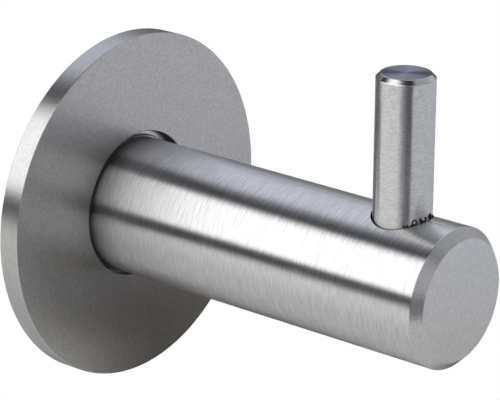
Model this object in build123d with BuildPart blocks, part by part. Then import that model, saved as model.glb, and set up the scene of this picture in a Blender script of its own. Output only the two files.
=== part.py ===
from build123d import *
from math import radians, tan
import os

# A stainless steel coat hook. A round cover rose lies against the wall, a round post stands out of it,
# and a short upright pin near the free end of the post stops the coat from sliding off.
# The origin is the centre of the back of the hook, on the wall. The wall is the plane Y = 0,
# the post points along -Y, and +Z is up. All sizes are in millimetres.

# The cover rose is a shallow drawn cap that hides the base plate.
rose_diameter = 50.0
rose_height = 3.2
rose_sheet = 1.2
rose_edge_break = 0.15
rose_inner_chamfer = 0.6

# The post is a solid bar.
post_diameter = 19.5
reach = 60.0
end_chamfer = 1.3
root_chamfer = 0.25

# The pin stands in a flat-bottomed hole in the top of the post.
pin_diameter = 8.0
pin_height = 19.5
pin_from_end = 10.0
pin_seat_depth = 10.0
pin_clearance = 0.15
pin_chamfer = 0.6
pin_foot_chamfer = 0.5

# The base plate is screwed to the wall, and its hub carries the post.
hub_ledge = 0.3
hub_recess = 1.0
hub_edge_chamfer = 0.15
plate_edge_chamfer = 0.7

# Clearances of the rose, which slides forward along the post to uncover the wall screws.
rose_to_hub = 0.6
rose_to_plate = 0.3

# Countersunk holes for the wall screws.
wall_hole_count = 3
wall_hole_circle = 34.0
wall_hole_diameter = 4.2
wall_head_diameter = 7.0

# Two countersunk screws hold the post from behind, so it can't turn on the plate.
screw_diameter = 4.0
screw_head_diameter = 7.5
screw_spacing = 10.0
screw_grip = 9.0
screw_tip_space = 2.0
screw_tip_chamfer = 0.5
thread_clearance = 0.05
head_clearance = 0.1
socket_across_flats = 2.5
socket_depth = 1.2
countersink_angle = 90.0
drill_point_angle = 118.0

# Sizes that follow from the ones above.
rose_radius = rose_diameter / 2
post_radius = post_diameter / 2
pin_radius = pin_diameter / 2
hub_radius = post_radius + hub_ledge
rose_hole_radius = hub_radius + rose_to_hub
cavity_radius = rose_radius - rose_sheet
cavity_depth = rose_height - rose_sheet
plate_radius = cavity_radius - rose_to_plate
plate_thickness = cavity_depth - rose_to_plate
hub_height = rose_height - hub_recess
post_length = reach - hub_height
pin_y = -(reach - pin_from_end)
pin_foot_z = post_radius - pin_seat_depth
pin_top_z = post_radius + pin_height
screw_radius = screw_diameter / 2
screw_head_radius = screw_head_diameter / 2
screw_hole_radius = screw_radius + thread_clearance
screw_end = hub_height + screw_grip
screw_hole_depth = screw_grip + screw_tip_space
drill_point_height = screw_hole_radius / tan(radians(drill_point_angle / 2))

# The wall plane looks out of the wall, with its local x along +X and its local y along +Z.
# The back plane is the same plane seen from inside the wall.
wall = Plane(origin=(0, 0, 0), x_dir=(1, 0, 0), z_dir=(0, -1, 0))
back = Plane(origin=(0, 0, 0), x_dir=(-1, 0, 0), z_dir=(0, 1, 0))
screw_places = [(-screw_spacing / 2, 0), (screw_spacing / 2, 0)]

os.makedirs("parts", exist_ok=True)


# Cover rose: a cap with a plain rim, hollow behind, with a clearance hole round the hub.
with BuildPart() as cover_rose:
    with BuildSketch(wall):
        Circle(rose_radius)
    extrude(amount=rose_height)
    with BuildSketch(wall):
        Circle(cavity_radius)
    extrude(amount=cavity_depth, mode=Mode.SUBTRACT)
    inner_corner = cover_rose.edges().filter_by(GeomType.CIRCLE).filter_by(
        lambda edge: abs(edge.radius - cavity_radius) < 1e-6
    ).sort_by(Axis.Y)[0]
    chamfer(inner_corner, length=rose_inner_chamfer)
    with BuildSketch(wall):
        Circle(rose_hole_radius)
    extrude(amount=rose_height, mode=Mode.SUBTRACT)
    face_edges = cover_rose.edges().group_by(Axis.Y)[0]
    chamfer(face_edges, length=rose_edge_break)

# Base plate: a flat disc with a low hub. Its wall holes are countersunk from the front,
# and the holes for the post's screws are countersunk from behind.
with BuildPart() as base_plate:
    with BuildSketch(wall):
        Circle(plate_radius)
    extrude(amount=plate_thickness)
    chamfer(base_plate.edges().group_by(Axis.Y)[0], length=plate_edge_chamfer)
    with BuildSketch(wall):
        Circle(hub_radius)
    extrude(amount=hub_height)
    chamfer(base_plate.edges().group_by(Axis.Y)[0], length=hub_edge_chamfer)
    with Locations(wall.offset(plate_thickness)):
        with PolarLocations(wall_hole_circle / 2, wall_hole_count, start_angle=90):
            CounterSinkHole(
                radius=wall_hole_diameter / 2,
                counter_sink_radius=wall_head_diameter / 2,
                depth=plate_thickness,
                counter_sink_angle=countersink_angle,
            )
    with Locations(back):
        with Locations(*screw_places):
            CounterSinkHole(
                radius=screw_radius + head_clearance,
                counter_sink_radius=screw_head_radius + head_clearance,
                depth=hub_height,
                counter_sink_angle=countersink_angle,
            )

# Post: a bar with a wide chamfer at its free end, a blind hole for the pin in its top,
# and two tapped holes with drill points in its back end.
with BuildPart() as post:
    with BuildSketch(wall.offset(hub_height)):
        Circle(post_radius)
    extrude(amount=post_length)
    chamfer(post.edges().group_by(Axis.Y)[0], length=end_chamfer)
    chamfer(post.edges().group_by(Axis.Y)[-1], length=root_chamfer)
    with Locations(Plane(origin=(0, pin_y, post_radius))):
        Hole(radius=pin_radius + pin_clearance, depth=pin_seat_depth)
    with Locations(back.offset(-hub_height)):
        with Locations(*screw_places):
            Hole(radius=screw_hole_radius, depth=screw_hole_depth)
    with Locations(wall.offset(hub_height + screw_hole_depth)):
        with Locations(*screw_places):
            Cone(
                bottom_radius=screw_hole_radius,
                top_radius=0,
                height=drill_point_height,
                align=(Align.CENTER, Align.CENTER, Align.MIN),
                mode=Mode.SUBTRACT,
            )

# Pin: a turned rod with a flat top, a chamfer round it and a chamfered foot.
with BuildPart() as pin:
    with BuildSketch(Plane(origin=(0, pin_y, 0), x_dir=(1, 0, 0), z_dir=(0, -1, 0))):
        with BuildLine():
            Polyline(
                (0, pin_foot_z),
                (pin_radius - pin_foot_chamfer, pin_foot_z),
                (pin_radius, pin_foot_z + pin_foot_chamfer),
                (pin_radius, pin_top_z - pin_chamfer),
                (pin_radius - pin_chamfer, pin_top_z),
                (0, pin_top_z),
                close=True,
            )
        make_face()
    revolve(axis=Axis((0, pin_y, 0), (0, 0, 1)))

# Post screws: one screw is turned and given its hexagon socket, and the other is its mirror image.
screw_axis_x = screw_spacing / 2
screw_cone_end = head_clearance + screw_head_radius - screw_radius
with BuildPart() as post_screws:
    with BuildSketch(Plane(origin=(screw_axis_x, 0, 0), x_dir=(1, 0, 0), z_dir=(0, 0, 1))):
        with BuildLine():
            Polyline(
                (0, -head_clearance),
                (screw_head_radius, -head_clearance),
                (screw_radius, -screw_cone_end),
                (screw_radius, screw_tip_chamfer - screw_end),
                (screw_radius - screw_tip_chamfer, -screw_end),
                (0, -screw_end),
                close=True,
            )
        make_face()
    revolve(axis=Axis((screw_axis_x, 0, 0), (0, 1, 0)))
    with BuildSketch(Plane(origin=(screw_axis_x, -head_clearance, 0), x_dir=(1, 0, 0), z_dir=(0, -1, 0))):
        RegularPolygon(radius=socket_across_flats / 2, side_count=6, major_radius=False)
    extrude(amount=socket_depth, mode=Mode.SUBTRACT)
    mirror(about=Plane.YZ)

cover_rose.part.label = "cover_rose"
base_plate.part.label = "base_plate"
post.part.label = "post"
pin.part.label = "pin"
post_screws.part.label = "post_screws"

export_step(cover_rose.part, "parts/cover_rose.step")
export_step(base_plate.part, "parts/base_plate.step")
export_step(post.part, "parts/post.step")
export_step(pin.part, "parts/pin.step")
export_step(post_screws.part, "parts/post_screws.step")
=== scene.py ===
# %% [markdown]
# # A steel coat hook
#
# The hook is a round bar that stands out of a wall rose, with a short upright pin near its free end.
# All of it is stainless steel, so nearly all of its look comes from two things: which way each surface
# was brushed or turned, and what the metal mirrors. The construction is already there as a fixed frame.
# Here each visible piece is modelled again with fine edges, gets its own finish, and is lit as in a
# product picture.
#
# The wall is the plane Y = 0, the post points along -Y, and +Z is up. Blender counts in metres.

# %% Load the frame
import math

import bpy
from mathutils import Matrix, Vector


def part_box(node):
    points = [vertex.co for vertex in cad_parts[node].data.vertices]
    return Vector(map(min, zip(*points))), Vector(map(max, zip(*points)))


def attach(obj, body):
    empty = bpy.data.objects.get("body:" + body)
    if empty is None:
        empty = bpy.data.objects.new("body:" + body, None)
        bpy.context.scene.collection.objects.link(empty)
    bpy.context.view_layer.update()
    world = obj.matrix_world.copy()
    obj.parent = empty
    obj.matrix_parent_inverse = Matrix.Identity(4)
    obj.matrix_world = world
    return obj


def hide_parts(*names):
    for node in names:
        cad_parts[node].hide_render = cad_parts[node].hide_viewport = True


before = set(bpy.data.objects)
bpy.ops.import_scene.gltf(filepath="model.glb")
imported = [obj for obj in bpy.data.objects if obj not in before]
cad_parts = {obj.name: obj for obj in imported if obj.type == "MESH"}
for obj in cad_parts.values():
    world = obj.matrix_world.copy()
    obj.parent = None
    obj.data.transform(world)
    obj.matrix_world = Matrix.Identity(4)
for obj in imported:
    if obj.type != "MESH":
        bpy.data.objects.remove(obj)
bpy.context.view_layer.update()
print("the frame's nodes:", sorted(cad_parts))

# %% [markdown]
# ## Sizes
#
# The outer sizes are read from the frame, so the pieces made here always fit it. What the frame's boxes
# can't tell, such as a chamfer or the wall of a pressed cap, is named at its piece in millimetres and
# turned into metres by one factor.

# %% Sizes from the frame
MM = 0.001

rose_low, rose_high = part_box("cover_rose")
post_low, post_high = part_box("post")
pin_low, pin_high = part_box("pin")
plate_low, plate_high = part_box("base_plate")

rose_radius = (rose_high.x - rose_low.x) / 2
rose_face_y = rose_low.y
post_radius = (post_high.x - post_low.x) / 2
post_end_y = post_low.y
post_root_y = post_high.y
pin_radius = (pin_high.x - pin_low.x) / 2
pin_y = (pin_low.y + pin_high.y) / 2
pin_top_z = pin_high.z
pin_foot_z = pin_low.z
across = [round(2 * radius / MM, 1) for radius in (rose_radius, post_radius, pin_radius)]
print("rose, post and pin are", across, "mm across")

# %% [markdown]
# ## A lathe
#
# The rose, the plate, the post and the pin are all round about one axis. By hand, such a piece starts as
# a circle. Its ring of edges is extruded and scaled from one corner of the outline to the next, the way a
# lathe tool walks along the work. A Spin of a drawn outline would do the same, but a ring that is
# extruded keeps its points in order and leaves no doubles at the axis.

# %% Lathe
def deselect_all():
    """Clears the selection, which the frame's import leaves on its own nodes."""
    bpy.ops.object.select_all(action="DESELECT")


def turned(name, outline, place, segments, hollow=False):
    """A round piece from its outline, a list of (radius, distance along the axis), put where place says."""
    deselect_all()
    radius, start = outline[0]
    bpy.ops.mesh.primitive_circle_add(vertices=segments, radius=radius, location=(0, 0, start))
    piece = bpy.context.object
    piece.name = name
    bpy.ops.object.transform_apply(location=True, rotation=False, scale=False)
    bpy.ops.object.mode_set(mode="EDIT")
    bpy.ops.mesh.select_all(action="SELECT")
    for (last_radius, last), (radius, along) in zip(outline, outline[1:]):
        bpy.ops.mesh.extrude_region_move(TRANSFORM_OT_translate={"value": (0, 0, along - last)})
        growth = radius / last_radius
        bpy.ops.transform.resize(value=(growth, growth, 1), center_override=(0, 0, along))
    bpy.ops.mesh.select_all(action="SELECT")
    if hollow:
        bpy.ops.mesh.remove_doubles(threshold=0.001 * MM)
    else:
        bpy.ops.mesh.select_all(action="DESELECT")
        bpy.ops.mesh.select_non_manifold()
        bpy.ops.mesh.fill_holes(sides=0)
        bpy.ops.mesh.select_all(action="SELECT")
    bpy.ops.mesh.normals_make_consistent(inside=False)
    bpy.ops.object.mode_set(mode="OBJECT")
    piece.matrix_world = place
    bpy.ops.object.transform_apply(location=True, rotation=True, scale=True)
    print(name, "has", len(piece.data.polygons), "faces")
    return piece


# The rose, the plate and the post are turned about Y, with their distances counted out of the wall.
out_of_wall = Matrix.Rotation(math.radians(90), 4, "X")

# %% [markdown]
# ## Fine edges
#
# No machined edge is perfectly sharp. Tumbling or a touch of emery leaves a hair of rounding, and that is
# what catches the light along every edge. It could be a bump in the material, but a Bevel modifier makes
# it real geometry, so it also shows in the outline. Hardened normals keep the flat faces flat.

# %% Soften edges
sharp_angle = math.radians(25)


def apply_modifier(piece, kind, **settings):
    """Adds one modifier to a piece, sets it up and applies it."""
    bpy.context.view_layer.objects.active = piece
    modifier = piece.modifiers.new(kind.title(), kind)
    for setting, value in settings.items():
        setattr(modifier, setting, value)
    bpy.ops.object.modifier_apply(modifier=modifier.name)


def soften_edges(piece, width, segments=3):
    """Rounds every sharp edge a little and shades the piece smooth."""
    deselect_all()
    piece.select_set(True)
    bpy.context.view_layer.objects.active = piece
    bpy.ops.object.shade_smooth()
    apply_modifier(
        piece, "BEVEL", width=width, segments=segments, limit_method="ANGLE",
        angle_limit=sharp_angle, harden_normals=True, use_clamp_overlap=True,
    )


# %% [markdown]
# ## The cover rose
#
# The rose is a shallow cap, pressed from sheet and drilled for the post. Its hole is wider than the post,
# so a dark ring shows all round it. The outline runs from the hole over the face and down the rim, then
# back inside the cap to the hole. The last point is the first again, which closes the ring. A disc with a
# Solidify modifier would be quicker, but its inner corner would be square, not sloped as a pressed one.

# %% Cover rose
rose_sheet = 1.2 * MM
rose_hole_radius = 10.55 * MM
rose_inner_slope = 0.6 * MM
rose_height = -rose_face_y
cavity_radius = rose_radius - rose_sheet
cavity_depth = rose_height - rose_sheet

rose = turned(
    "rose",
    [
        (rose_hole_radius, rose_height),
        (rose_radius, rose_height),
        (rose_radius, 0),
        (cavity_radius, 0),
        (cavity_radius, cavity_depth - rose_inner_slope),
        (cavity_radius - rose_inner_slope, cavity_depth),
        (rose_hole_radius, cavity_depth),
        (rose_hole_radius, rose_height),
    ],
    out_of_wall,
    segments=256,
    hollow=True,
)

# %% [markdown]
# The hole is about a fifth of a millimetre off centre, up and to the right, so the gap round the post
# isn't even. The points of the hole are selected by their distance from the axis and moved together. A
# Boolean could cut the hole off centre too, but moving its ring keeps the plain faces that a bevel rounds
# best.

# %% Shift the rose's hole
rose_hole_shift = Vector((0.1, 0, 0.2)) * MM
rose_hole_margin = 0.1 * MM
rose_edge_round = 0.14 * MM


def from_axis(point):
    """How far a point is from the post's axis."""
    return math.hypot(point.x, point.z)


bpy.ops.object.mode_set(mode="EDIT")
bpy.ops.mesh.select_all(action="DESELECT")
bpy.ops.object.mode_set(mode="OBJECT")
for vertex in rose.data.vertices:
    vertex.select = from_axis(vertex.co) < rose_hole_radius + rose_hole_margin
print("moved", sum(vertex.select for vertex in rose.data.vertices), "points of the hole")
bpy.ops.object.mode_set(mode="EDIT")
bpy.ops.transform.translate(value=rose_hole_shift)
bpy.ops.object.mode_set(mode="OBJECT")
soften_edges(rose, rose_edge_round)

# %% [markdown]
# Brushed metal blurs what it mirrors far more across its brush marks than along them. Blender's stretched
# gloss follows a tangent that runs round the upright axis of a piece's texture space, and takes no other
# direction without a UV map. When that space is drawn out along Y, the tangent runs along Y all over a
# piece that is round about Y, which is just across the brush marks of the post and the rim.

# %% Let the reflections stretch along Y, and seat the rose
def stretch_along_y(piece):
    """Draws a piece's texture space out along Y, so that its stretched reflections run along Y too."""
    piece.data.use_auto_texspace = False
    piece.data.texspace_location = (0, 0, 0)
    piece.data.texspace_size = (1, 1000, 1)


def seat(piece, body, node):
    """Makes a piece ride on its body and stand for its node, whose frame piece is hidden."""
    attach(piece, body)
    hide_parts(node)
    print(piece.name, "stands for", node, "with", len(piece.data.polygons), "faces")


stretch_along_y(rose)
seat(rose, "rose", "cover_rose")

# %% [markdown]
# ## The post
#
# The post is a solid bar with a wide chamfer at its free end. The bar is turned first and drilled after,
# in the order of the workshop. The chamfer's corners stay crisp, with only a hair of rounding.

# %% Post
post_end_chamfer = 1.3 * MM
post_root_chamfer = 0.25 * MM
post_edge_round = 0.1 * MM

post = turned(
    "post_bar",
    [
        (post_radius - post_root_chamfer, -post_root_y),
        (post_radius, -post_root_y + post_root_chamfer),
        (post_radius, -post_end_y - post_end_chamfer),
        (post_radius - post_end_chamfer, -post_end_y),
    ],
    out_of_wall,
    segments=256,
)
soften_edges(post, post_edge_round)

# %% [markdown]
# A blind hole in the top takes the pin, and two holes in the back take the screws. The pin's hole is a
# little too wide and a little to the left, which leaves the dark sliver beside the pin's foot. The drills
# are cylinders that a Boolean takes out of the bar, after the bevel, so that the holes keep sharp edges.

# %% Drill the post
pin_hole_gap = 0.16 * MM
pin_hole_shift = Vector((-0.08, 0.03, 0)) * MM
screw_hole_radius = 2.05 * MM
screw_hole_depth = 11 * MM
screw_spacing = 10 * MM


def cut(piece, cutters):
    """Takes the cutters' shapes out of a piece, as a drill would, and deletes them."""
    for cutter in cutters:
        apply_modifier(piece, "BOOLEAN", operation="DIFFERENCE", solver="EXACT", object=cutter)
        bpy.data.objects.remove(cutter)


deselect_all()
bpy.ops.mesh.primitive_cylinder_add(
    vertices=96,
    radius=pin_radius + pin_hole_gap,
    depth=2 * (post_radius - pin_foot_z),
    location=Vector((0, pin_y, post_radius)) + pin_hole_shift,
)
drills = [bpy.context.object]
for side in (-1, 1):
    bpy.ops.mesh.primitive_cylinder_add(
        vertices=32,
        radius=screw_hole_radius,
        depth=2 * screw_hole_depth,
        location=(side * screw_spacing / 2, post_root_y, 0),
        rotation=(math.radians(90), 0, 0),
    )
    drills.append(bpy.context.object)
cut(post, drills)
seat(post, "base", "post")
stretch_along_y(post)

# %% [markdown]
# ## The base plate
#
# Between the rose's hole and the post, a thin bright ring shows: the hub of the plate that the rose
# covers. The whole plate shows when the rose is pushed forward, so it is turned with its hub in one
# piece, like the real one.

# %% Base plate
plate_radius = (plate_high.x - plate_low.x) / 2
hub_ledge = 0.3 * MM
hub_radius = post_radius + hub_ledge
hub_front = -plate_low.y
plate_thickness = 1.7 * MM
plate_edge_chamfer = 0.7 * MM
hub_edge_chamfer = 0.15 * MM

plate = turned(
    "hub_plate",
    [
        (plate_radius, 0),
        (plate_radius, plate_thickness - plate_edge_chamfer),
        (plate_radius - plate_edge_chamfer, plate_thickness),
        (hub_radius, plate_thickness),
        (hub_radius, hub_front - hub_edge_chamfer),
        (hub_radius - hub_edge_chamfer, hub_front),
    ],
    out_of_wall,
    segments=256,
)

# %% [markdown]
# It is countersunk from the front for three wall screws, and from behind for the two screws of the post.
# One cutter does a hole and its cone at once: a drill whose end opens to the size of the screw's head.

# %% Countersink the base plate
wall_hole_radius, wall_head_radius, wall_hole_circle = 2.1 * MM, 3.5 * MM, 34 * MM
wall_hole_angles = [math.radians(degrees) for degrees in (90, 210, 330)]
post_screw_radius, post_head_radius = 2.1 * MM, 3.85 * MM
cutter_overrun = 0.2 * MM
plate_edge_round = 0.06 * MM


def countersunk(place, hole_radius, head_radius, head_distance, inwards):
    """A cutter for one countersunk hole: a drill through the plate and a 90 degree cone from one face."""
    cone = head_radius - hole_radius
    drill = [
        (hole_radius, head_distance - inwards * 3 * hub_front),
        (hole_radius, head_distance - inwards * cone),
        (head_radius + cutter_overrun, head_distance + inwards * cutter_overrun),
    ]
    return turned("countersink", drill, Matrix.Translation(place) @ out_of_wall, segments=64)


wall_holes = [
    countersunk(
        (wall_hole_circle / 2 * math.cos(angle), 0, wall_hole_circle / 2 * math.sin(angle)),
        wall_hole_radius, wall_head_radius, plate_thickness, 1,
    )
    for angle in wall_hole_angles
]
screw_holes = [
    countersunk((side * screw_spacing / 2, 0, 0), post_screw_radius, post_head_radius, 0, -1)
    for side in (-1, 1)
]
cut(plate, wall_holes + screw_holes)
soften_edges(plate, plate_edge_round, segments=2)
seat(plate, "base", "base_plate")

# %% [markdown]
# ## The pin
#
# The pin is a short turned rod with a chamfer round its top and a smaller one at its foot, which helps it
# into its hole. The lathe makes it in one go, this time upright.

# %% Pin
pin_chamfer = 0.6 * MM
pin_foot_chamfer = 0.5 * MM
pin_edge_round = 0.06 * MM

pin = turned(
    "pin_rod",
    [
        (pin_radius - pin_foot_chamfer, pin_foot_z),
        (pin_radius, pin_foot_z + pin_foot_chamfer),
        (pin_radius, pin_top_z - pin_chamfer),
        (pin_radius - pin_chamfer, pin_top_z),
    ],
    Matrix.Translation((0, pin_y, 0)),
    segments=128,
)
soften_edges(pin, pin_edge_round)
seat(pin, "base", "pin")

# %% [markdown]
# ## Burrs at the pin's foot
#
# Where the pin was driven into its hole, it pushed up a little metal on one side: two curls, a torn lump
# and some crumbs. They are tiny, but they are what shows that the pin is a piece of its own. Each is
# modelled lying flat and then stood against the pin, where the post's round surface meets it.

# %% Places beside the pin
def beside_pin(angle_degrees, height):
    """A place on the pin's foot, by the angle from the front towards the left, above the post's surface."""
    angle = math.radians(angle_degrees)
    outwards = Vector((-math.sin(angle), -math.cos(angle), 0))
    place = Vector((0, pin_y, 0)) + pin_radius * outwards
    place.z = math.sqrt(post_radius ** 2 - place.x ** 2) + height
    return Matrix.Translation(place) @ outwards.to_track_quat("Z", "Y").to_matrix().to_4x4()


def scatter(amount, seed):
    """Moves the points of the piece in edit mode at random, by up to the amount."""
    bpy.ops.mesh.select_all(action="SELECT")
    bpy.ops.transform.vertex_random(offset=amount, uniform=1.0, normal=0.0, seed=seed)


# %% [markdown]
# A curl is a ring laid flat against the pin. One is cut off at the top, where it is torn, and the other
# is left whole. A lump is a small ball. Sculpting them would take longer and look no better at this size,
# so their points are scattered by a random move instead, with a fixed seed, and they come out the same
# each time.

# %% Curls and crumbs
def curl(angle, height, size, thickness, cut_height, seed):
    """A ring of metal against the pin, in millimetres, without what stands higher than cut_height."""
    deselect_all()
    bpy.ops.mesh.primitive_torus_add(
        major_radius=size * MM, minor_radius=thickness * MM, major_segments=20, minor_segments=8
    )
    ring = bpy.context.object
    bpy.ops.object.mode_set(mode="EDIT")
    bpy.ops.mesh.select_all(action="SELECT")
    bpy.ops.mesh.bisect(
        plane_co=(0, cut_height * MM, 0), plane_no=(0, 1, 0), use_fill=True, clear_outer=True
    )
    scatter(0.25 * thickness * MM, seed)
    bpy.ops.object.mode_set(mode="OBJECT")
    ring.matrix_world = beside_pin(angle, height * MM)
    return ring


def crumb(angle, height, width, tall, seed):
    """A ragged lump of metal, in millimetres."""
    deselect_all()
    bpy.ops.mesh.primitive_ico_sphere_add(subdivisions=2, radius=1)
    lump = bpy.context.object
    lump.scale = (width * MM, tall * MM, 0.7 * width * MM)
    bpy.ops.object.transform_apply(location=False, rotation=False, scale=True)
    bpy.ops.object.mode_set(mode="EDIT")
    scatter(0.35 * width * MM, seed)
    bpy.ops.object.mode_set(mode="OBJECT")
    lump.matrix_world = beside_pin(angle, height * MM)
    return lump


# %% [markdown]
# The torn burrs are nearly black and the chips among them are bright, so they become two pieces. Each
# line below places one burr: its angle round the pin, its height above the post and its size.

# %% Burrs and chips
burrs = [
    curl(angle=11, height=0.45, size=0.42, thickness=0.17, cut_height=0.14, seed=1),
    curl(angle=30, height=0.36, size=0.32, thickness=0.1, cut_height=1, seed=2),
    crumb(angle=-10, height=0.4, width=0.3, tall=0.45, seed=3),
    crumb(angle=-27, height=0.2, width=0.26, tall=0.22, seed=4),
    crumb(angle=36, height=0.06, width=0.18, tall=0.14, seed=5),
    crumb(angle=44, height=0.12, width=0.18, tall=0.2, seed=6),
    crumb(angle=51, height=0.16, width=0.2, tall=0.12, seed=7),
]
chips = [
    crumb(angle=43, height=0.17, width=0.13, tall=0.12, seed=9),
    crumb(angle=54, height=-0.02, width=0.12, tall=0.12, seed=10),
    crumb(angle=11, height=0.45, width=0.22, tall=0.3, seed=11),
]


def joined(name, pieces):
    """Makes one piece of several, with its place in its mesh."""
    deselect_all()
    for piece in pieces:
        piece.select_set(True)
    bpy.context.view_layer.objects.active = pieces[0]
    bpy.ops.object.transform_apply(location=True, rotation=True, scale=True)
    bpy.ops.object.join()
    pieces[0].name = name
    bpy.ops.object.mode_set(mode="EDIT")
    bpy.ops.mesh.select_all(action="SELECT")
    bpy.ops.mesh.normals_make_consistent(inside=False)
    bpy.ops.object.mode_set(mode="OBJECT")
    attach(pieces[0], "base")
    print(name, "has", len(pieces[0].data.polygons), "faces")
    return pieces[0]


pin_burrs = joined("pin_burrs", burrs)
pin_chips = joined("pin_chips", chips)

# %% [markdown]
# ## Shader maths in Python
#
# The finishes below are sums and products of noise. Wiring Math nodes by hand gets long, so one small
# class wraps a socket: an expression such as `0.3 + 0.1 * grain` adds its Math nodes by itself. Every
# other node comes from its `node` method.

# %% A socket that does maths
class Value:
    """One output socket of a node tree that can be used in Python arithmetic."""

    def __init__(self, socket):
        self.socket = socket
        self.tree = socket.id_data

    @classmethod
    def node(cls, tree, kind, settings=None, inputs=None, output=0):
        """Adds a node with its settings, then the values or links of its inputs, and wraps one output."""
        made = tree.nodes.new(kind)
        for name, setting in (settings or {}).items():
            setattr(made, name, setting)
        for name, value in (inputs or {}).items():
            if isinstance(value, cls):
                tree.links.new(value.socket, made.inputs[name])
            else:
                made.inputs[name].default_value = value
        return cls(made.outputs[output]) if made.outputs else None

    def maths(self, operation, other=0.0, reflected=False):
        """One Math node on this value and another. Reflected, the other one comes first."""
        first, second = (other, self) if reflected else (self, other)
        return self.node(self.tree, "ShaderNodeMath", {"operation": operation}, {0: first, 1: second})

    def __add__(self, other):
        return self.maths("ADD", other)

    def __sub__(self, other):
        return self.maths("SUBTRACT", other)

    def __rsub__(self, other):
        return self.maths("SUBTRACT", other, reflected=True)

    def __mul__(self, other):
        return self.maths("MULTIPLY", other)

    __radd__ = __add__
    __rmul__ = __mul__

    def ramp(self, low, high, bottom=0.0, top=1.0):
        """Goes smoothly from bottom to top while the value goes from low to high."""
        return self.node(
            self.tree, "ShaderNodeMapRange", {"interpolation_type": "SMOOTHSTEP"},
            {"Value": self, "From Min": low, "From Max": high, "To Min": bottom, "To Max": top},
        )

    def band(self, low, high, soft):
        """1 between low and high and 0 outside, with soft edges."""
        return self.ramp(low - soft, low + soft) * self.ramp(high - soft, high + soft, 1, 0)


# %% [markdown]
# Two things come up again and again: mixing two colours, and taking the X, Y or Z out of a place or a
# direction. A Math node would turn a colour grey, so colours go through a Mix node.

# %% Mixing colours and parting vectors
def mixed(factor, first, second):
    """The colour first where factor is 0 and second where it is 1."""
    return Value.node(
        factor.tree, "ShaderNodeMix", {"data_type": "RGBA"}, {0: factor, 6: first, 7: second}, output=2
    )


def part(vector, axis):
    """The X, Y or Z of a vector, by the letter of its axis."""
    return Value.node(vector.tree, "ShaderNodeSeparateXYZ", {}, {"Vector": vector}, output=axis)


# %% [markdown]
# ## Tool marks
#
# Every finish is the same metal under a different tool. A tool leaves fine marks, and the marks are a
# noise that is stretched along the tool's path. Squeezed along the bar's own axis, the noise turns into
# rings that run round the bar with no seam, just as a brush leaves them on a bar in a lathe. A painted
# image of scratches would need a UV map, and its seam would show.

# %% Marks
def grain(place, size):
    """A noise from about -0.5 to 0.5 whose spots have the given size along x, y and z in millimetres."""
    stretched = Value.node(
        place.tree, "ShaderNodeMapping", {}, {"Vector": place, "Scale": [1 / (s * MM) for s in size]}
    )
    noise = Value.node(
        place.tree, "ShaderNodeTexNoise", {"noise_dimensions": "3D"},
        {"Vector": stretched, "Scale": 1.0, "Detail": 1.0, "Roughness": 0.5},
    )
    return noise - 0.5


def brushed_round_y(place):
    """Rings round the post's axis: long fine ones, and shorter ones that make their edges ragged."""
    return 0.5 * grain(place, (5, 0.1, 5)) + 0.5 * grain(place, (1.6, 0.13, 1.6))


def turned_round_z(place):
    """Rings round the pin's axis."""
    return 0.5 * grain(place, (1.2, 1.2, 0.09)) + 0.5 * grain(place, (0.5, 0.5, 0.14))


def satin(place):
    """Grain without a direction, with some broader unevenness under it."""
    return 0.8 * grain(place, (0.13, 0.13, 0.13)) + 0.2 * grain(place, (0.6, 0.6, 0.6))


def brushed_along_z(place):
    """Straight upright lines."""
    return 0.6 * grain(place, (0.12, 1, 0.5)) + 0.4 * grain(place, (0.2, 1, 1.2))


# %% [markdown]
# The pin's top was faced: the tool went from the edge to the middle while the pin turned, which leaves
# fine rings. Their noise has one dimension only, the distance from the middle.

# %% Rings on the pin's top
ring_width = 0.16 * MM


def faced(place):
    """Rings round the middle of the pin's top, as a facing tool leaves them."""
    centred = Value.node(
        place.tree, "ShaderNodeVectorMath", {"operation": "SUBTRACT"}, {0: place, 1: (0, pin_y, pin_top_z)}
    )
    radius = Value.node(
        place.tree, "ShaderNodeVectorMath", {"operation": "LENGTH"}, {0: centred}, output="Value"
    )
    rings = Value.node(
        place.tree, "ShaderNodeTexNoise", {"noise_dimensions": "1D"},
        {"W": radius * (1 / ring_width), "Scale": 1.0, "Detail": 1.0},
    )
    return rings - 0.5


# %% [markdown]
# ## Steel
#
# `steel` takes such marks and lets them tint the colour a little, change the gloss from one mark to the
# next and tilt the surface through a bump. The bump stays very small. Most of the brushed look comes from
# the stretched reflections, because real brush marks are finer than a pixel and only their blur is seen.
# Bare metal brightens to white at a grazing angle, and the edge tint holds that back a little.

# %% Steel
edge_tint = (0.7, 0.7, 0.7, 1)
painted_shade_colour = (0.04, 0.04, 0.042, 1)


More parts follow.
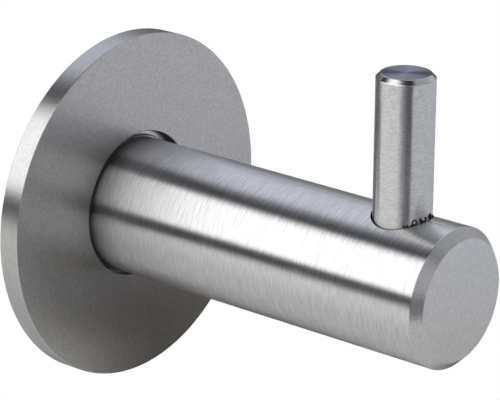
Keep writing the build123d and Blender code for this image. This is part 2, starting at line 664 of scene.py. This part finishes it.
def steel(
    name, colour, roughness, marks, depth, gloss_change, tint_change, stretch=0.0, quarter_turns=0, shade=None
):
    """A steel whose marks, a function of the place, tilt it by their depth in mm and change gloss and tint.

    stretch draws its reflections out across the tool's path: along the tangent of the piece's texture
    space, or, with one quarter turn, across it. shade is a function of the place; where it is below 1,
    the colour is darkened: painted shade, not a colour of the steel.
    """
    material = bpy.data.materials.new(name)
    material.use_nodes = True
    tree = material.node_tree
    tree.nodes.clear()
    place = Value.node(tree, "ShaderNodeTexCoord", output="Object")
    height = marks(place)
    darker = [c * (1 - tint_change) for c in colour] + [1]
    lighter = [min(1, c * (1 + tint_change)) for c in colour] + [1]
    tinted = mixed(height.ramp(-0.25, 0.25), darker, lighter)
    if shade:
        # Painted shade: the colour is darkened where shade is below 1.
        tinted = mixed(shade(place), painted_shade_colour, tinted)
    shader = Value.node(
        tree, "ShaderNodeBsdfPrincipled", {},
        {
            "Base Color": tinted,
            "Metallic": 1.0,
            "Roughness": roughness + gloss_change * height if gloss_change else roughness,
            "Specular Tint": edge_tint,
            "Anisotropic": stretch,
            "Anisotropic Rotation": 0.25 * quarter_turns,
            "Normal": Value.node(tree, "ShaderNodeBump", {}, {"Height": height, "Distance": depth * MM}),
        },
    )
    Value.node(tree, "ShaderNodeOutputMaterial", {}, {"Surface": shader})
    print(name, "has", len(tree.nodes), "nodes")
    return material


def dress(piece, main, *others):
    """Gives a piece its main finish, and each other (finish, test) on the faces that pass its test."""
    piece.data.materials.clear()
    piece.data.materials.append(main)
    for finish, test in others:
        piece.data.materials.append(finish)
        chosen = [face for face in piece.data.polygons if test(face)]
        for face in chosen:
            face.material_index = len(piece.data.materials) - 1
        print(finish.name, "is on", len(chosen), "faces of", piece.name)


# %% [markdown]
# ## Finishes of the rose
#
# The rose's face is satin: blasted fine, with no direction. Its rim was turned, so the rim's reflections
# are stretched along Y. The wall of its hole was only drilled and stays dull.

# %% Dress the rose
rose_satin = steel(
    "rose_satin", (0.475, 0.47, 0.465), roughness=0.33, marks=satin,
    depth=0.004, gloss_change=0.06, tint_change=0.2,
)
rim_turned = steel(
    "rim_turned", (0.43, 0.43, 0.43), roughness=0.3, marks=satin,
    depth=0.012, gloss_change=0.06, tint_change=0.2, stretch=0.85,
)
hole_cut = steel(
    "hole_cut", (0.24, 0.24, 0.23), roughness=0.42, marks=satin,
    depth=0.006, gloss_change=0.06, tint_change=0.2,
)
near_hole = rose_hole_radius + 0.5 * MM


def is_side(face):
    """Whether a face looks away from the axis or towards it, and not out of the wall or into it."""
    return abs(face.normal.y) < 0.9


dress(
    rose, rose_satin,
    (rim_turned, is_side),
    (hole_cut, lambda face: is_side(face) and from_axis(face.center) < near_hole),
)

# %% [markdown]
# ## Finishes of the post
#
# The post was brushed round while it turned. Its colour is painted darker in its last few millimetres,
# in the corner with the rose: painted shade. Its chamfer was only turned, and the flat end was brushed
# in straight lines. A flat face that looks along Y gets no stretched reflections, because the tangent,
# which runs along Y, has no direction there.

# %% Dress the post
# Painted shade: the post's colour is darkened in its last few millimetres, by the rose.
root_shade_start_y, root_shade_end_y = -9 * MM, -2.5 * MM
painted_brightness_at_root = 0.45


def painted_root_shade(place):
    """1 along most of the post, and less towards its root: painted shade in the corner with the rose."""
    return part(place, "Y").ramp(root_shade_start_y, root_shade_end_y, 1, painted_brightness_at_root)


post_brushed = steel(
    "post_brushed", (0.57, 0.57, 0.575), roughness=0.305, marks=brushed_round_y,
    depth=0.022, gloss_change=0.03, tint_change=0.22, stretch=1.0, shade=painted_root_shade,
)
chamfer_turned = steel(
    "chamfer_turned", (0.51, 0.51, 0.51), roughness=0.33, marks=satin,
    depth=0.006, gloss_change=0.06, tint_change=0.2, stretch=0.8,
)
end_brushed = steel(
    "end_brushed", (0.56, 0.56, 0.565), roughness=0.31, marks=brushed_along_z,
    depth=0.004, gloss_change=0.06, tint_change=0.18,
)
near_end_y = post_end_y + 0.01 * MM
past_chamfer_y = post_end_y + 1.4 * MM
flat, sloping = 0.95, 0.3

dress(
    post, post_brushed,
    (end_brushed, lambda face: face.normal.y < -flat and face.center.y < near_end_y),
    (chamfer_turned, lambda face: -flat < face.normal.y < -sloping and face.center.y < past_chamfer_y),
)

# %% [markdown]
# ## Finishes of the pin
#
# The pin was turned, so its marks run round Z. There the tangent already runs round the axis, and a
# quarter turn lays the reflections along the pin. The chamfer was cut with a sharp tool and shines, and
# the top is darker and a little blue.

# %% Dress the pin
pin_turned = steel(
    "pin_turned", (0.57, 0.57, 0.57), roughness=0.28, marks=turned_round_z,
    depth=0.006, gloss_change=0.0, tint_change=0.2, stretch=0.88, quarter_turns=1,
)
pin_chamfer_turned = steel(
    "pin_chamfer_turned", (0.56, 0.56, 0.57), roughness=0.14, marks=turned_round_z,
    depth=0.003, gloss_change=0.04, tint_change=0.06, stretch=0.5, quarter_turns=1,
)
pin_top_faced = steel(
    "pin_top_faced", (0.27, 0.28, 0.33), roughness=0.29, marks=faced,
    depth=0.02, gloss_change=0.0, tint_change=0.35, stretch=1.0, quarter_turns=1,
)

dress(
    pin, pin_turned,
    (pin_top_faced, lambda face: face.normal.z > flat),
    (pin_chamfer_turned, lambda face: sloping < face.normal.z < flat),
)

# %% [markdown]
# ## Finishes of the small and hidden pieces
#
# The base plate is plainly turned, and the bright chips at the pin's foot take the same steel. The torn
# burrs are nearly black. The screws come from the frame as they are and only get a glossier steel.

# %% Dress the plate, the burrs and the screws
plate_turned = steel(
    "plate_turned", (0.55, 0.55, 0.54), roughness=0.29, marks=brushed_round_y,
    depth=0.006, gloss_change=0.02, tint_change=0.08,
)
burr_torn = steel(
    "burr_torn", (0.03, 0.03, 0.03), roughness=0.4, marks=satin,
    depth=0.02, gloss_change=0.1, tint_change=0.3,
)
screw_bright = steel(
    "screw_bright", (0.5, 0.5, 0.5), roughness=0.25, marks=satin,
    depth=0.002, gloss_change=0.1, tint_change=0.05,
)

dress(plate, plate_turned)
dress(pin_burrs, burr_torn)
dress(pin_chips, plate_turned)
dress(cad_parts["post_screws"], screw_bright)

# %% [markdown]
# ## Floor
#
# A pale table top just below the hook. The camera looks through it to the plain white background, so the
# hook also shows from below. Everything else sees a real matt surface, and that is what the steel
# mirrors. A plane that the camera sees as plain white would look the same from above, but it would hide
# the hook from below.

# %% Floor
floor_z = -25.6 * MM
floor_low = Vector((-0.21, -0.125, floor_z))
floor_high = Vector((0.26, 0.30, floor_z))
deselect_all()
bpy.ops.mesh.primitive_plane_add(size=1, location=(floor_low + floor_high) / 2)
floor = bpy.context.object
floor.name = "floor"
floor.scale = (floor_high.x - floor_low.x, floor_high.y - floor_low.y, 1)
bpy.ops.object.transform_apply(location=True, rotation=False, scale=True)
print("floor in mm:", [round(1000 * side) for side in floor.dimensions])

# %% [markdown]
# The table isn't the same all over. Its paper is painted with the softbox's light: white to the left,
# near the softbox, and a cool grey to the right, where that painted light falls off. It is dark at the
# left of its front edge, and painted shadow lies in a strip under the wall and behind the wall. The dark
# lower half of the rose mirrors the hook's shadow, painted on the table. The lamps could throw all of that
# shadow, but here its place and softness are set with ramps and round spots, so each can be changed by
# itself.

# %% Colours of the paper
floor_paper = bpy.data.materials.new("floor_paper")
floor_paper.use_nodes = True
tree = floor_paper.node_tree
tree.nodes.clear()
place = Value.node(tree, "ShaderNodeTexCoord", output="Object")
x, y = part(place, "X"), part(place, "Y")


def far_from(place, spot_x, spot_y, near, far):
    """0 within near of a spot on the floor and 1 beyond far, in millimetres."""
    distance = Value.node(
        place.tree, "ShaderNodeVectorMath", {"operation": "DISTANCE"},
        {0: place, 1: Vector((spot_x * MM, spot_y * MM, floor_z))}, output="Value",
    )
    return distance.ramp(near * MM, far * MM)


paper_painted_lit = (0.97, 0.97, 0.96, 1)
paper_painted_dim = (0.66, 0.66, 0.66, 1)
paper_painted_cool = (0.685, 0.7, 0.765, 1)
table_edge = (0.08, 0.08, 0.08, 1)
wall_shadow = (0.1, 0.1, 0.1, 1)
deep_shadow = (0.1, 0.088, 0.074, 1)
light_shadow = (0.36, 0.33, 0.3, 1)
foot_shadow = (0.32, 0.3, 0.28, 1)

at_front_edge = y.ramp(-107 * MM, -94 * MM, 1, 0) * x.ramp(-50 * MM, -20 * MM, 1, 0)
before_right_end = x.ramp(38 * MM, 55 * MM, 1, 0)
under_wall = y.ramp(-4 * MM, 4 * MM) * x.ramp(-16 * MM, -5 * MM) * before_right_end
behind_wall = y.ramp(45 * MM, 60 * MM) * x.ramp(-60 * MM, -35 * MM) * before_right_end
near_rose = x.ramp(8 * MM, 17 * MM) * y.ramp(-25 * MM, -16 * MM)
shadow = mixed(near_rose, deep_shadow, light_shadow)

# Painted light: the paper is lighter to the left, near the softbox, and dimmer and cooler to the right.
paper = mixed(x.ramp(-90 * MM, -12 * MM), paper_painted_lit, paper_painted_dim)
paper = mixed(x.ramp(40 * MM, 80 * MM), paper, paper_painted_cool)
paper = mixed(at_front_edge, paper, table_edge)
paper = mixed(under_wall, paper, wall_shadow)
paper = mixed(behind_wall, paper, wall_shadow)
paper = mixed(far_from(place, 25, -25, near=10, far=38), shadow, paper)
paper = mixed(far_from(place, 2, 0, near=4, far=18), foot_shadow, paper)
print("the paper's colours take", len(tree.nodes), "nodes")

# %% [markdown]
# The Light Path node tells which kind of ray is looking. Only the camera's own rays pass the paper.

# %% Paper that the camera doesn't see
seen = Value.node(tree, "ShaderNodeLightPath", output="Is Camera Ray")
matt = Value.node(tree, "ShaderNodeBsdfDiffuse", {}, {"Color": paper})
clear = Value.node(tree, "ShaderNodeBsdfTransparent")
surface = Value.node(tree, "ShaderNodeMixShader", {}, {0: seen, 1: matt, 2: clear})
Value.node(tree, "ShaderNodeOutputMaterial", {}, {"Surface": surface})
dress(floor, floor_paper)
print("floor_paper has", len(tree.nodes), "nodes")

# %% [markdown]
# ## Light
#
# The world is a pale light tent. Lamps as objects would light the steel just as well, but in a world each
# shape that the steel mirrors can be drawn right where it is needed, and it looks the same from every
# place on the hook. A direction is told by three angles and its three parts: `turn` goes round the post's
# axis from the top towards the left, `compass` goes round the upright axis from the front towards the
# left, and `lift` goes up from the horizon.

# %% Directions
world = bpy.data.worlds.new("light_tent")
bpy.context.scene.world = world
world.use_nodes = True
world.cycles.sampling_method = "NONE"
tree = world.node_tree
tree.nodes.clear()
direction = Value.node(tree, "ShaderNodeTexCoord", output="Generated")
right, inward, up = (part(direction, axis) for axis in "XYZ")
left, outward = 0 - right, 0 - inward
degree = math.degrees(1)
turn = degree * left.maths("ARCTAN2", up)
compass = degree * left.maths("ARCTAN2", outward)
lift = degree * up.maths("ARCSINE")
print("the directions take", len(tree.nodes), "nodes")

# %% [markdown]
# A long softbox stands to the left, framed in black: the steel mirrors it as the broad white band of the
# post, and its black frame as the two dark lines beside the band. Towards the front, where the faces that
# look forward mirror it, both grow wider by some degrees on each side. Both stop just before the wall.

# %% Softbox
box_start, box_end, box_softness = 21.8, 79.7, 1.2
frame_start, frame_end, frame_softness = -1, 98, 2
front_growth = 10

flare = inward.ramp(-0.65, -0.3, -front_growth, 0)
before_wall = inward.ramp(0.85, 0.92, 1, 0)
box_round = turn.band(box_start + flare, box_end - flare, box_softness)
in_box = box_round * inward.ramp(-0.62, -0.1) * before_wall
frame_round = turn.band(frame_start + flare, frame_end - flare, frame_softness)
in_frame = frame_round * inward.ramp(-0.68, -0.5) * before_wall
print("the softbox spans", round(box_end - box_start, 1), "degrees round the post")

# %% [markdown]
# A cooler panel fills from the right, with a dark corner beyond it. The front of the tent is greyer than
# the rest, and the wall's end is nearly dark. Steel also mirrors what isn't a lamp, so the dark shape of
# the camera and its stand is there too, low in front on the left: it is the dark stripe on the pin.

# %% Panel, corner, front, wall's end and camera
in_front = inward.ramp(-0.15, -0.45) * up.ramp(-0.1, 0.4)
in_panel = turn.band(-59, -9, 6) * inward.band(0.1, 0.85, 0.2)
in_corner = turn.ramp(-74, -57, 1, 0) * turn.ramp(-110, -95) * inward.ramp(-0.05, 0.35)
at_wall_end = inward.ramp(0.8, 0.92)
in_camera = compass.band(26, 69, 4) * lift.band(-50, 11, 4)

tent_cloth = (0.72, 0.73, 0.78, 1)
front_cloth = (0.48, 0.49, 0.51, 1)
cool_panel = (1.08, 1.12, 1.27, 1)
dark_corner = (0.17, 0.17, 0.18, 1)
dark_wall_end = (0.2, 0.2, 0.2, 1)
camera_black = (0.04, 0.04, 0.04, 1)
frame_black = (0.03, 0.03, 0.035, 1)
softbox_light = (2.35, 2.35, 2.35, 1)

tent = mixed(in_front, tent_cloth, front_cloth)
tent = mixed(in_panel, tent, cool_panel)
tent = mixed(in_corner, tent, dark_corner)
tent = mixed(at_wall_end, tent, dark_wall_end)
tent = mixed(in_camera, tent, camera_black)
framed = mixed(in_frame, tent, frame_black)
mirrored = mixed(in_box, framed, softbox_light)
print("light_tent has", len(tree.nodes), "nodes so far")

# %% [markdown]
# The white background comes from the camera's own rays. The paper on the table gets a stronger softbox
# and less fill than the steel shows, which keeps the shadow under the hook as dark as in a studio. Which
# ray is looking is only known when the world isn't sampled as a lamp, so its sampling is off above.

# %% Background
fill_on_paper = (0.12, 0.12, 0.12, 1)
softbox_on_paper = (4.8, 4.8, 4.75, 1)
white = (1, 1, 1, 1)

on_paper = mixed(in_box, fill_on_paper, softbox_on_paper)
seen = Value.node(tree, "ShaderNodeLightPath", output="Is Camera Ray")
on_matt = Value.node(tree, "ShaderNodeLightPath", output="Is Diffuse Ray")
shown = mixed(seen, mixed(on_matt, mirrored, on_paper), white)
background = Value.node(tree, "ShaderNodeBackground", {}, {"Color": shown, "Strength": 1.0})
Value.node(tree, "ShaderNodeOutputWorld", {}, {"Surface": background})
print("light_tent has", len(tree.nodes), "nodes")

# %% [markdown]
# ## Camera
#
# A long lens from the left and above, as in a catalogue picture: the hook's far parts are hardly smaller
# than its near ones. The camera is placed by the direction back from its aim, so each angle can be
# changed by itself.

# %% Camera
camera_azimuth = math.radians(-50.18)
camera_elevation = math.radians(19.67)
camera_roll = math.radians(0.445)
camera_distance = 410 * MM
camera_aim = Vector((8.79, -16.46, 1.43)) * MM
sensor_width, focal_length = 36, 207.67

back = Vector((
    math.sin(camera_azimuth) * math.cos(camera_elevation),
    -math.cos(camera_azimuth) * math.cos(camera_elevation),
    math.sin(camera_elevation),
))
bpy.ops.object.camera_add(location=camera_aim + camera_distance * back)
camera = bpy.context.object
camera.rotation_mode = "QUATERNION"
camera.rotation_quaternion = (
    Matrix.Rotation(camera_roll, 3, back) @ (-back).to_track_quat("-Z", "Y").to_matrix()
).to_quaternion()
camera.data.sensor_width = sensor_width
camera.data.lens = focal_length
camera.data.clip_start = 10 * MM
bpy.context.scene.camera = camera
bpy.context.scene.view_settings.view_transform = "Standard"
print("camera at", [round(1000 * x) for x in camera.location], "mm")
